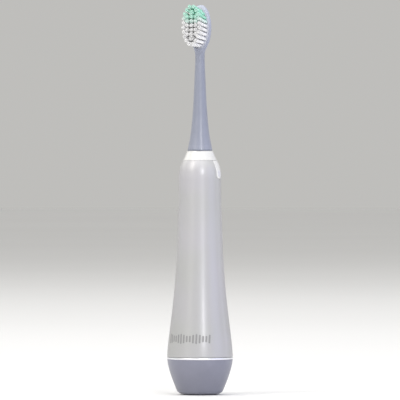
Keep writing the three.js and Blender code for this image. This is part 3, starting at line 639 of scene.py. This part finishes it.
def bottom_plate():
    """The plate under the charger, with a recess for the foot and counterbored screw holes."""
    radius, top = high("charger_bottom_plate").x, high("charger_bottom_plate").z
    bottom = low("charger_bottom_plate").z
    recess, ceiling = high("charger_foot").x + 0.15, high("charger_foot").z + 0.1
    wide, narrow, seat, above = 1.85, 1.05, 2.7, 5  # a screw hole's two radii, and its levels
    screw_hole = [
        (0, 0, 0), (wide, 0, 0), (wide, seat, 0), (narrow, seat, 0), (narrow, above, 0), (0, above, 0),
    ]
    plate = turned("base_plate", [
        (0, ceiling, 0), (recess, ceiling, 0.1), (recess, bottom, 0.15),
        (radius, bottom, 0.25), (radius, top, 0.15), (0, top, 0),
    ], SLATE.material)
    combine(plate, boss_rods(screw_hole))
    place(plate, "charger", "frosted_slate", "charger_bottom_plate")


TOOL_REACH = 3.0  # how far a tool stands out of what it cuts


def sunk_tool(ring_at, surface, rim, depth):
    """A tool that opens a hole in a curved wall and rounds its rim. ring_at(grow) gives the hole's outline
    grown by a distance, and surface(u, v, depth) the place at a depth under the wall's outside."""
    depths = rim * (1 - np.cos(np.linspace(0, math.pi / 2, 6)))
    levels = [(-TOOL_REACH, rim)]
    levels += [(d, rim - math.sqrt(max(0.0, rim**2 - (rim - d) ** 2))) for d in depths]
    levels += [(depth, 0.0)]
    rings = [np.array([surface(u, v, d) for u, v in ring_at(grow)]) for d, grow in levels]
    return new_object("tool", *skin(capped(rings)))


def rounded_box_ring(half_width, half_height, corner):
    """The points round a rectangle with round corners, centred on the origin."""
    ring = []
    for quarter, (across, up) in enumerate([(1, 1), (-1, 1), (-1, -1), (1, -1)]):
        for step in np.linspace(0, math.pi / 2, 8):
            angle = step + quarter * math.pi / 2
            ring.append((
                across * (half_width - corner) + corner * math.cos(angle),
                up * (half_height - corner) + corner * math.sin(angle),
            ))
    return np.array(ring)


def bowl():
    """The frosted bowl, with a rounded opening at the back for the power inlet."""
    side = smooth(outline("charger_bowl"), 8)
    bottom_hole = high("charger_bottom_plate").x + 0.15
    wall_from, floor_radius, floor_top = 9, 13.2, 3.6  # where the inside turns from wall to floor
    inside = [(r - BOWL_WALL, z, 0) for r, z in side[::-1] if z > wall_from]
    corners = with_radius(side[1:-1])
    corners = [(side[0][0], side[0][1], 0.1), *corners, (side[-1][0], side[-1][1], 0.12)]
    corners += [
        *inside, (floor_radius, floor_top, 0),
        (bottom_hole, floor_top - 0.2, 0), (bottom_hole, side[0][1], 0.1),
    ]
    made = turned("charger_shell", corners, SLATE.material)
    centre = (low("charger_inlet_shell").z + high("charger_inlet_shell").z) / 2

    def surface(x, z, depth):
        radius = np.interp(z + centre, side[:, 1], side[:, 0])
        return (x, math.sqrt(radius**2 - x**2) - depth, z + centre)

    def opening(grow):
        return rounded_box_ring(INLET_HALF[0] + grow, INLET_HALF[1] + grow, INLET_CORNER + grow)[::-1]

    combine(made, sunk_tool(opening, surface, 0.35, 6))
    place(made, "charger", "frosted_slate", "charger_bowl")


def trim_ring():
    """The bright ring between the bowl and the handle."""
    bottom, top = low("charger_trim_ring").z, high("charger_trim_ring").z
    radius, inner = high("charger_trim_ring").x, 18.0
    place(turned("trim_band", [
        (inner, bottom, 0.1), (radius - 0.15, bottom, 0.12), (radius, bottom + 0.55, 0.3),
        (radius - 0.15, top, 0.25), (inner, top, 0.1),
    ], CHROME.material), "charger", "chrome", "charger_trim_ring")


def top_cover():
    """The charger's deck with the peg that the handle stands on, and the screw bosses under it."""
    deck_top = 22.4
    radius, peg, wall = 17.7, 5.2, 0.8
    ring_outer, ring_inner, ring_depth, slope = 16.3, 14.7, 0.35, 0.3  # a shallow ring in the deck
    boss, boss_hole, boss_bottom, boss_top = 2.1, 1.0, 3.3, 21.1
    cover = turned("charger_deck", [
        (peg - wall, DECK_BOTTOM, 0), (radius, DECK_BOTTOM, 0.1), (radius, deck_top, 0.3),
        (ring_outer, deck_top, 0.15), (ring_outer - slope, deck_top - ring_depth, 0.15),
        (ring_inner + slope, deck_top - ring_depth, 0.15), (ring_inner, deck_top, 0.15),
        (peg, deck_top, 0.9), (peg, PEG_TOP, 1.2), (0, PEG_TOP, 0),
        (0, PEG_TOP - wall, 0), (peg - wall, PEG_TOP - wall, 0.6),
    ], SLATE.material)
    bosses = boss_rods([
        (boss_hole, boss_bottom, 0), (boss, boss_bottom, 0.2),
        (boss, boss_top, 0), (boss_hole, boss_top, 0),
    ])
    combine(cover, bosses, "UNION")
    place(cover, "charger", "frosted_slate", "charger_top_cover")


# ---- handle ---------------------------------------------------------------------------------------

def handle_side():
    """The casing's outer [radius, height] points: a calm curve up the grip, then the shoulder."""
    spacing, grip_length = 0.8, 104
    side = smooth(outline("handle_shell"), 6)
    heights = np.arange(HANDLE_BOTTOM, SEAM, spacing)
    heights = np.append(heights[:-1], SEAM)
    side = np.column_stack([np.interp(heights, side[:, 1], side[:, 0]), heights])
    grip = int(np.searchsorted(heights, HANDLE_BOTTOM + grip_length))
    side[:grip] = relaxed(side[:grip], 60)
    return relaxed(side, 3)


HANDLE_SIDE = handle_side()


def handle_radius(z):
    """The casing's outer radius at a height."""
    return float(np.interp(z, HANDLE_SIDE[:, 1], HANDLE_SIDE[:, 0]))


def on_casing(y, z, depth):
    """The place on the +X side at a depth under the casing's outside."""
    return (math.sqrt(max(0.01, handle_radius(z) ** 2 - y**2)) - depth, y, z)


def under_casing(ring, depth):
    """The places of [y, z] points at a depth under the casing's outside."""
    return np.array([on_casing(y, z, depth) for y, z in ring])


def flat_ends(ring, depth):
    """A [y, z] ring pressed together on its middle line, which closes a curved surface."""
    return under_casing(ring * (0.0, 1.0), depth)


def window_ring(grow, top):
    """The [y, z] points round the button's opening, grown by a distance: round below, and flat on top."""
    half, corner, bottom = WINDOW_HALF + grow, WINDOW_CORNER + grow, WINDOW_BOTTOM - grow
    side = np.linspace(top, bottom + corner, 22)[:-1]
    arc = np.linspace(math.pi, 1.5 * math.pi, 10)
    left = [(-half, z) for z in side]
    left += [(-half + corner * (1 + math.cos(a)), bottom + corner * (1 + math.sin(a))) for a in arc]
    right = [(-y, z) for y, z in left[::-1]]
    across = [(y, top) for y in np.linspace(half, -half, 10)[1:-1]]
    return np.array([*left, *right, *across])


def shell():
    """The pearlescent casing, with its window for the power button."""
    corners = with_radius(HANDLE_SIDE[1:-1])
    bottom, top = HANDLE_SIDE[0] - (0, NESTLE), HANDLE_SIDE[-1]
    inside = [(r - HANDLE_WALL, z, 0) for r, z in HANDLE_SIDE[::-3]]
    made = turned("casing", [
        (bottom[0], bottom[1], 0.22), *corners, (top[0], top[1], 0.07),
        (top[0] - HANDLE_WALL, top[1], 0), *inside[1:-1], (bottom[0] - HANDLE_WALL, bottom[1], 0.1),
    ], PEARL.material)
    combine(made, sunk_tool(lambda grow: window_ring(grow, SEAM + 2), on_casing, 0.22, 4))
    place(made, "handle", "pearl_casing", "handle_shell")


def collar():
    """The white collar at the top of the handle, with the skirt that plugs into the casing."""
    side = smooth(outline("handle_collar", COLLAR_BOTTOM), 6)
    side = side[side[:, 1] < COLLAR_TOP]
    skirt = low("handle_collar").z
    outer, inner, hole = 8.0, 7.0, 3.0  # radii of the skirt and of the shaft's hole
    floor, ceiling = COLLAR_TOP - 0.15, COLLAR_TOP - 1.6  # the top's sunk face and its underside
    place(turned("collar", [
        (side[0][0], COLLAR_BOTTOM, 0.07), *with_radius(side[1:-1]), (outer, COLLAR_TOP, 0.3),
        (6.9, COLLAR_TOP, 0.1), (6.7, floor, 0.1), (hole + 0.6, floor, 0.1),
        (hole, COLLAR_TOP - 0.5, 0.1), (hole, ceiling, 0.1), (6.4, ceiling, 0.1),
        (inner, COLLAR_BOTTOM, 0), (inner, skirt, 0.15), (outer, skirt, 0.2), (outer, COLLAR_BOTTOM, 0),
    ], WHITE.material), "handle", "white_plastic", "handle_collar")


def shaft_seal():
    """The rubber lip seal round the drive shaft."""
    bottom, top = low("shaft_seal").z, high("shaft_seal").z
    bore, hub, flange, lip = 2.0, 3.4, 6.2, 2.85  # radii
    place(turned("lip_seal", [
        (bore, bottom, 0.1), (hub, bottom, 0.2), (hub, bottom + 1.6, 0.1), (flange, bottom + 1.6, 0.2),
        (flange, top - 1.8, 0.2), (lip, top - 1.8, 0.1), (lip, top - 0.6, 0.2), (bore, top, 0.12),
    ], RUBBER.material, sides=96), "handle", "rubber", "shaft_seal")


def base_cap():
    """The cap in the handle's underside, with the recess that the charger's peg enters."""
    bottom, top = low("handle_base_cap").z, high("handle_base_cap").z
    recess, dome, rim, skirt, groove, inner = 5.6, 6.5, 17.9, 17.2, 16.65, 15.0  # radii
    groove_bottom, groove_top, skirt_top, floor = bottom + 4.1, bottom + 5.5, bottom + 8.6, bottom + 1.6
    place(turned("base_cap", [
        (recess, bottom, 0.5), (rim, bottom, 0.35), (rim, bottom + 1.4, 0.1), (skirt, bottom + 2, 0),
        (skirt, groove_bottom, 0), (groove, groove_bottom, 0.1),
        (groove, groove_top, 0.1), (skirt, groove_top, 0),
        (16.5, skirt_top, 0.2), (inner, skirt_top, 0.2), (inner, floor, 0.4),
        (dome, floor, 0.4), (dome, top, 0.6), (0, top, 0), (0, top - 0.9, 0), (recess, top - 0.9, 0.8),
    ], WHITE.material), "handle", "white_plastic", "handle_base_cap")


def button():
    """The power button: a white tongue in the casing's window, with a satin pad sunk in its lower end."""
    top = SEAM - 0.1
    flange_top = high("switch_plunger").z + 3.4
    wall, front, back = HANDLE_WALL, HANDLE_WALL + 0.3, HANDLE_WALL + 0.8
    flange = 0.9  # past the opening
    # (growth of the window's outline, depth under the casing's outside), from the flange to the tongue
    behind = [
        (-2.4, back), (-1.2, back), (0, back), (flange, back), (flange, front),
        (-BUTTON_SLIP, front), (-BUTTON_SLIP, wall),
    ]
    rings = [flat_ends(window_ring(-2.4, flange_top), back)]
    for grow, depth in behind:
        rings.append(under_casing(window_ring(grow, flange_top + min(0, grow)), depth))
    # (distance inside the opening's edge, depth under the casing's outside, more distance from the top)
    rim = [(0.0, wall, 0.0)]
    edge, proud = 0.25, 0.1  # radius of the tongue's edge, and how far it stands out of the casing
    turn = np.linspace(0, math.pi / 2, 6)
    rim += [(edge * (1 - math.cos(a)), edge - proud - edge * math.sin(a), 0.0) for a in turn]
    to_pad = [(0.45, 1.0), (0.65, 2.1), (0.85, 3.2), (1.05, 4.2), (1.2, 4.8)]
    rim += [(inset, -proud, lower) for inset, lower in to_pad]
    sunk = 0.06  # depth of the pad
    pad = [(1.33, 0.05, 4.9), (1.6, sunk, 5.0), (2.0, sunk, 5.0), (2.4, sunk, 5.0)]
    for inset, depth, lower in rim + pad:
        ring = window_ring(-BUTTON_SLIP - inset, top - inset - lower)
        half = WINDOW_HALF - BUTTON_SLIP - inset
        height = (ring[:, 1] - ring[:, 1].min()) / np.ptp(ring[:, 1])
        arch = half * (1 - np.sqrt(np.clip(1 - (ring[:, 0] / half) ** 2, 0, 1)))
        ring[:, 1] -= min(1.0, lower / 4) * arch * height**2  # makes the pad's upper end round too
        rings.append(under_casing(ring, depth))
    rings.append(flat_ends(ring, sunk))
    made = new_object("button_cap", *skin(rings), WHITE.material, PAD.material)
    faces_before_pad = len(skin(rings[:-len(pad) - 1])[1])
    for face in made.data.polygons[faces_before_pad:]:
        face.material_index = 1
    inner_end, outer_end = high("switch_plunger").x + 0.05, 10.9  # of the post behind the flange
    z = (low("switch_plunger").z + high("switch_plunger").z) / 2
    ring = circle(1.0)
    rod = [
        np.column_stack([np.full(len(ring), x), ring[:, 0], ring[:, 1] + z])
        for x in (inner_end, outer_end)
    ]
    combine(made, new_object("tool", *skin(capped(rod))), "UNION")
    place(made, "button", "white_plastic", "power_button")


def mark():
    """A plain printed mark in front: a row of round-ended bars, like a vibration."""
    count, pitch, half_width, middle = 15, 2.05, 0.58, 34.8
    mean_height, swing, period = 2.5, 0.6, 5  # of the bars' half heights
    over, under = 0.035, -0.03  # the bars' faces, from the casing's outside
    shapes = []
    for i in range(count):
        along = (i - (count - 1) / 2) * pitch
        half_height = mean_height + swing * math.cos(2 * math.pi * i / period)
        rows = []
        for t in np.linspace(-1, 1, 25):
            up = t * half_height
            past_straight = max(0.0, abs(up) - (half_height - half_width))
            half = math.sqrt(max(1e-6, half_width**2 - past_straight**2))
            row = []
            for side, lift in ((-1, over), (1, over), (1, under), (-1, under)):
                radius = handle_radius(middle + up)
                angle = (along + side * half) / radius
                outer = radius + lift
                row.append((outer * math.sin(angle), -outer * math.cos(angle), middle + up))
            rows.append(np.array(row))
        shapes.append(skin(capped(rows)))
    place(new_object("handle_mark", *merged(shapes), INK.material), "handle", "frosted_slate")


def drive_shaft():
    """The steel shaft, with a driving flat and a groove near its tip."""
    bottom, tip = low("drive_shaft").z, high("drive_shaft").z
    radius = high("drive_shaft").x
    flat = tip - SHAFT_FLAT_LENGTH
    groove = radius - 0.3
    section = rounded([
        (0, bottom, 0), (radius, bottom, 0.1), (radius, flat, 0), (radius, flat + 0.02, 0),
        (radius, tip - 6, 0.1), (groove, tip - 5.6, 0.1), (groove, tip - 4.4, 0.1),
        (radius, tip - 4, 0.1), (radius, tip - 1, 0.2), (radius - 0.7, tip, 0.15), (0, tip, 0),
    ])
    rings = revolve(section, FINE_SIDES)
    for ring in rings:
        if ring[0][2] > flat:
            ring[:, 1] = np.minimum(ring[:, 1], SHAFT_FLAT)
    made = new_object("shaft", *skin(rings), STEEL.material)
    place(made, "rotor", "steel", "drive_shaft")


# ---- brush head -----------------------------------------------------------------------------------

HEAD_MIDDLE = Matrix.Translation((0, HEAD_DEPTH, NECK_BOTTOM + HEAD_CENTRE))
ON_HEAD = HEAD_MIDDLE @ Matrix.Rotation(-HEAD_TILT, 4, "X")


def on_head(points):
    """Points drawn about the head's middle, moved into place."""
    return np.array([ON_HEAD @ Vector(p) for p in points])


def neck_ring(z, half_width, half_depth, behind, squareness, sides):
    """The points round the brush neck at a station."""
    angles = 2 * math.pi * np.arange(sides) / sides
    c, s = np.cos(angles), np.sin(angles)
    x = half_width * np.sign(c) * np.abs(c) ** (2 / squareness)
    y = behind + half_depth * np.sign(s) * np.abs(s) ** (2 / squareness)
    return np.column_stack([x, y, np.full(sides, z + NECK_BOTTOM)])


def face_oval(width, height, y, sides=96):
    """The points round an oval that lies across the head, at a distance from its middle plane."""
    ring = circle(1.0, sides)
    return np.column_stack([ring[:, 0] * width, np.full(sides, y), ring[:, 1] * height])


def neck():
    """The frosted brush neck and head, hollow for the shaft, with a pocket for the bristles."""
    sides = 112
    stations = smooth(NECK_STATIONS, 9)
    stations = stations[stations[:, 0] > 0.9]
    foot_radius = NECK_STATIONS[0][1]
    bore, bore_top, foot_bore, foot_depth = 3.15, 28.5, 6.2, 2.4
    inner = rounded([
        (0, bore_top, 0), (bore, bore_top - 1.5, 0.3), (bore, foot_depth, 0.15),
        (foot_bore, foot_depth, 0.2), (foot_bore, -NESTLE, 0.2), (foot_radius, -NESTLE, 0.28),
        (stations[0][1], stations[0][0], 0),
    ])
    rings = [ring + (0, 0, NECK_BOTTOM) for ring in revolve(inner, sides)]
    rings += [neck_ring(*station, sides) for station in stations[1:]]
    rings.append(rings[-1].mean(axis=0)[None])
    made = new_object("brush_stem", *skin(rings), MIST.material)
    width, height = CARRIER[0] + 0.15, CARRIER[1] + 0.15
    floor = -FACE_DEPTH + POCKET_DEPTH
    pocket = [face_oval(width, height, y) for y in (floor, -FACE_DEPTH - 3)]
    combine(made, new_object("tool", *skin([on_head(ring) for ring in capped(pocket)])))
    place(made, "brush_head", "frosted_mist", "brush_neck")


def tuft_places():
    """The [across, up] middles of the tufts: an outer oval ring, and three straight columns inside it."""
    angles = np.linspace(0, 2 * math.pi, 2001)
    oval = np.column_stack([TUFT_RING[0] * np.cos(angles), TUFT_RING[1] * np.sin(angles)])
    travelled = np.append(0, np.cumsum(np.linalg.norm(np.diff(oval, axis=0), axis=1)))
    stops = (np.arange(TUFT_RING_COUNT) + 0.5) / TUFT_RING_COUNT * travelled[-1]
    ring = [(np.interp(s, travelled, oval[:, 0]), np.interp(s, travelled, oval[:, 1])) for s in stops]
    middle = [(0.0, row * TUFT_PITCH[1]) for row in range(-3, 4)]
    sides = [(side * TUFT_PITCH[0], row * TUFT_PITCH[1]) for row in range(-2, 3) for side in (-1, 1)]
    return [*ring, *middle, *sides]


TUFT_AXIS = Vector((0, -math.cos(TUFT_TILT), math.sin(TUFT_TILT)))
TUFT_UP = Vector((0, math.sin(TUFT_TILT), math.cos(TUFT_TILT)))


def along_tuft(place_on_face, across, up, ahead):
    """The place beside a tuft's middle line, some way in front of the head's face."""
    share = ROOT_SHARE + (TIP_SHARE - ROOT_SHARE) * ahead / TUFT_LENGTH
    x, z = place_on_face[0] * share, place_on_face[1] * share
    return Vector((x, -FACE_DEPTH, z)) + TUFT_AXIS * ahead + Vector((1, 0, 0)) * across + TUFT_UP * up


def carrier():
    """The plate that holds the tufts, with a hole for each."""
    width, height = CARRIER[0] + 0.1, CARRIER[1] + 0.1
    front, back = -FACE_DEPTH, -FACE_DEPTH + CARRIER_THICKNESS
    levels = [(0, back), (0, front + 0.3), (0.09, front + 0.09), (0.3, front)]
    rings = [face_oval(width - inset, height - inset, y) for inset, y in levels]
    made = new_object("tuft_plate", *skin([on_head(ring) for ring in capped(rings)]), PLATE.material)
    holes = []
    for spot in tuft_places():
        rod = [
            np.array([along_tuft(spot, u, v, ahead) for u, v in circle(TUFT_HOLE, 20)])
            for ahead in (-2.5, 1.5)
        ]
        holes.append(skin([on_head(ring) for ring in capped(rod)]))
    combine(made, new_object("tool", *merged(holes)))
    place(made, "brush_head", "frosted_mist", "bristle_carrier")


def filament(spot, across, up, length, lean):
    """One bristle with a rounded tip, from behind the plate to its own length, leaning by [across, up]."""
    levels = [(-1.5, 1.0), (0.3, 1.0), (length * 0.6, 1.0), (length - 0.09, 1.0), (length - 0.02, 0.62)]
    ring = circle(FILAMENT_RADIUS, 5)
    rings = []
    for ahead, share in levels:
        bend = max(0.0, ahead / length) ** 1.2
        middle = (across + lean[0] * bend, up + lean[1] * bend)
        rings.append(np.array([
            along_tuft(spot, middle[0] + share * u, middle[1] + share * v, ahead) for u, v in ring
        ]))
    tip = along_tuft(spot, across + lean[0], up + lean[1], length)
    return skin([rings[0].mean(axis=0)[None], *rings, np.array([tip])])


COLUMN_ENDS = [(0.0, -3 * TUFT_PITCH[1]), (0.0, 3 * TUFT_PITCH[1])]


def green_share(spot):
    """How much of a tuft is green: all of it near the tip, and some of it in the next row down."""
    if spot[1] > GREEN_ABOVE:
        return 1.0
    return MIXED_SHARE if spot[1] > GREEN_ABOVE - TUFT_PITCH[1] else 0.0


def bristles(name, slot, node, finish, is_green):
    """The filaments of one colour, in bundles, with the melted roots of its tufts behind the plate."""
    draw = random.Random(11)
    shapes = []
    for spot in tuft_places():
        share = green_share(spot)
        flare = END_FLARE if spot in COLUMN_ENDS else FLARE
        turn = draw.uniform(0, 2 * math.pi)
        tuft_lean = (draw.gauss(0, WANDER), draw.gauss(0, WANDER))
        for i in range(FILAMENTS):
            reach = SPREAD * math.sqrt((i + 0.5) / FILAMENTS)
            angle = i * math.pi * (3 - math.sqrt(5)) + turn
            across, up = reach * math.cos(angle), reach * math.sin(angle)
            lean = (
                tuft_lean[0] + across * flare + draw.gauss(0, WANDER),
                tuft_lean[1] + up * flare + draw.gauss(0, WANDER),
            )
            length = TUFT_LENGTH - 0.1 - 0.35 * (reach / SPREAD) ** 2 + draw.uniform(-0.12, 0.08)
            if (draw.random() < share) == is_green:
                shapes.append(filament(spot, across, up, length, lean))
        if (share == 1) != is_green:
            continue
        root = [(0.0, -1.35), (1.0, -1.4), (1.15, -1.55), (0.95, -1.75), (0.0, -1.85)]
        rings = []
        for radius, ahead in root:
            ring = circle(radius, 16) if radius else np.zeros((1, 2))
            rings.append(np.array([along_tuft(spot, u, v, ahead) for u, v in ring]))
        shapes.append(skin(rings))
    points, faces = merged(shapes)
    place(new_object(name, on_head(points), faces, finish.material), "brush_head", slot, node)


# ---- stage ----------------------------------------------------------------------------------------

CAMERA_AZIMUTH = math.radians(25)
CAMERA_DISTANCE = 3.6
CAMERA_HEIGHT = 0.149
VIEW_HEIGHT = 0.2464  # of what the picture takes in, at the object
VIEW_CENTRE = 0.1199
LAMP_AIM = 0.12  # height that the lamps face

# The softboxes: name, degrees to the right of the camera, distance, height, width and tallness in
# metres, power in watts, and colour.
LAMPS = [
    ("left_box", -44, 2.6, 0.95, 0.9, 2.7, 5.2, (1.0, 0.95, 0.84)),
    ("front_strip", 14, 3.0, 1.1, 0.28, 1.0, 24, (0.97, 0.97, 1.0)),
    ("right_box", 66, 2.6, 0.6, 1.8, 2.0, 12, (0.56, 0.60, 1.0)),
    ("shoulder_box", -54, 2.0, 1.75, 1.0, 1.2, 16, (1.0, 0.965, 0.90)),
    ("high_box", 6, 1.4, 2.8, 3.2, 2.6, 27, (1, 1, 1)),
    ("right_rim", 110, 2.6, 0.5, 0.8, 1.6, 3, (0.80, 0.83, 1.0)),
    ("back_box", 186, 1.4, 2.8, 3.2, 2.6, 24, (1, 1, 1)),
    ("left_rim", -118, 2.2, 1.4, 1.0, 1.4, 4, (1.0, 0.98, 0.95)),
]
WORLD_COLOR = (1.0, 0.99, 0.96, 1)
WORLD_STRENGTH = 0.52
FLOOR_RADIUS = 12000
FLOOR_DROP = 0.02  # below the foot


def aim(thing, target):
    """Turns a camera or lamp to face a point."""
    direction = Vector(target) - thing.location
    thing.rotation_euler = direction.to_track_quat("-Z", "Y").to_euler()


def around(azimuth, distance, height):
    """A place round the object, at an angle to the right of its front."""
    return Vector((distance * math.sin(azimuth), -distance * math.cos(azimuth), height))


def camera():
    """A long lens at the photograph's angle, level with the casing's middle."""
    data = bpy.data.cameras.new("camera")
    data.lens = data.sensor_width * CAMERA_DISTANCE / VIEW_HEIGHT
    data.clip_end = 50
    made = bpy.data.objects.new("camera", data)
    bpy.context.scene.collection.objects.link(made)
    made.location = around(CAMERA_AZIMUTH, CAMERA_DISTANCE, CAMERA_HEIGHT)
    aim(made, (0, 0, VIEW_CENTRE))
    bpy.context.scene.camera = made


def softbox(name, azimuth, distance, height, width, tall, power, color):
    """A rectangular lamp that faces the object; its azimuth is measured from the camera's."""
    data = bpy.data.lights.new(name, "AREA")
    data.shape = "RECTANGLE"
    data.size, data.size_y = width, tall
    data.energy, data.color = power, color
    made = bpy.data.objects.new(name, data)
    bpy.context.scene.collection.objects.link(made)
    made.location = around(CAMERA_AZIMUTH + math.radians(azimuth), distance, height)
    aim(made, (0, 0, LAMP_AIM))
    made.visible_camera = False


def studio():
    """A pale floor under soft lamps."""
    world = bpy.data.worlds.new("studio")
    world.use_nodes = True
    light = world.node_tree.nodes["Background"]
    light.inputs["Color"].default_value = WORLD_COLOR
    light.inputs["Strength"].default_value = WORLD_STRENGTH
    bpy.context.scene.world = world
    for lamp in LAMPS:
        softbox(*lamp)
    paper = plain_finish("paper", (0.97, 0.97, 0.97), 0.9, size=900, amount=0.01, relief=2)
    disc = revolve([(0, -FLOOR_DROP), (FLOOR_RADIUS, -FLOOR_DROP)], 96)
    floor = new_object("floor", *skin(disc), paper.material)
    bpy.context.scene.view_settings.view_transform = "Standard"


# ---- the whole object -----------------------------------------------------------------------------

camera()
studio()
refinish_cad()
foot()
bottom_plate()
bowl()
trim_ring()
top_cover()
shell()
collar()
shaft_seal()
base_cap()
button()
mark()
drive_shaft()
neck()
carrier()
bristles("tufts_white", "nylon_white", "bristles_white", NYLON_WHITE, False)
bristles("tufts_green", "nylon_green", "bristles_green", NYLON_GREEN, True)
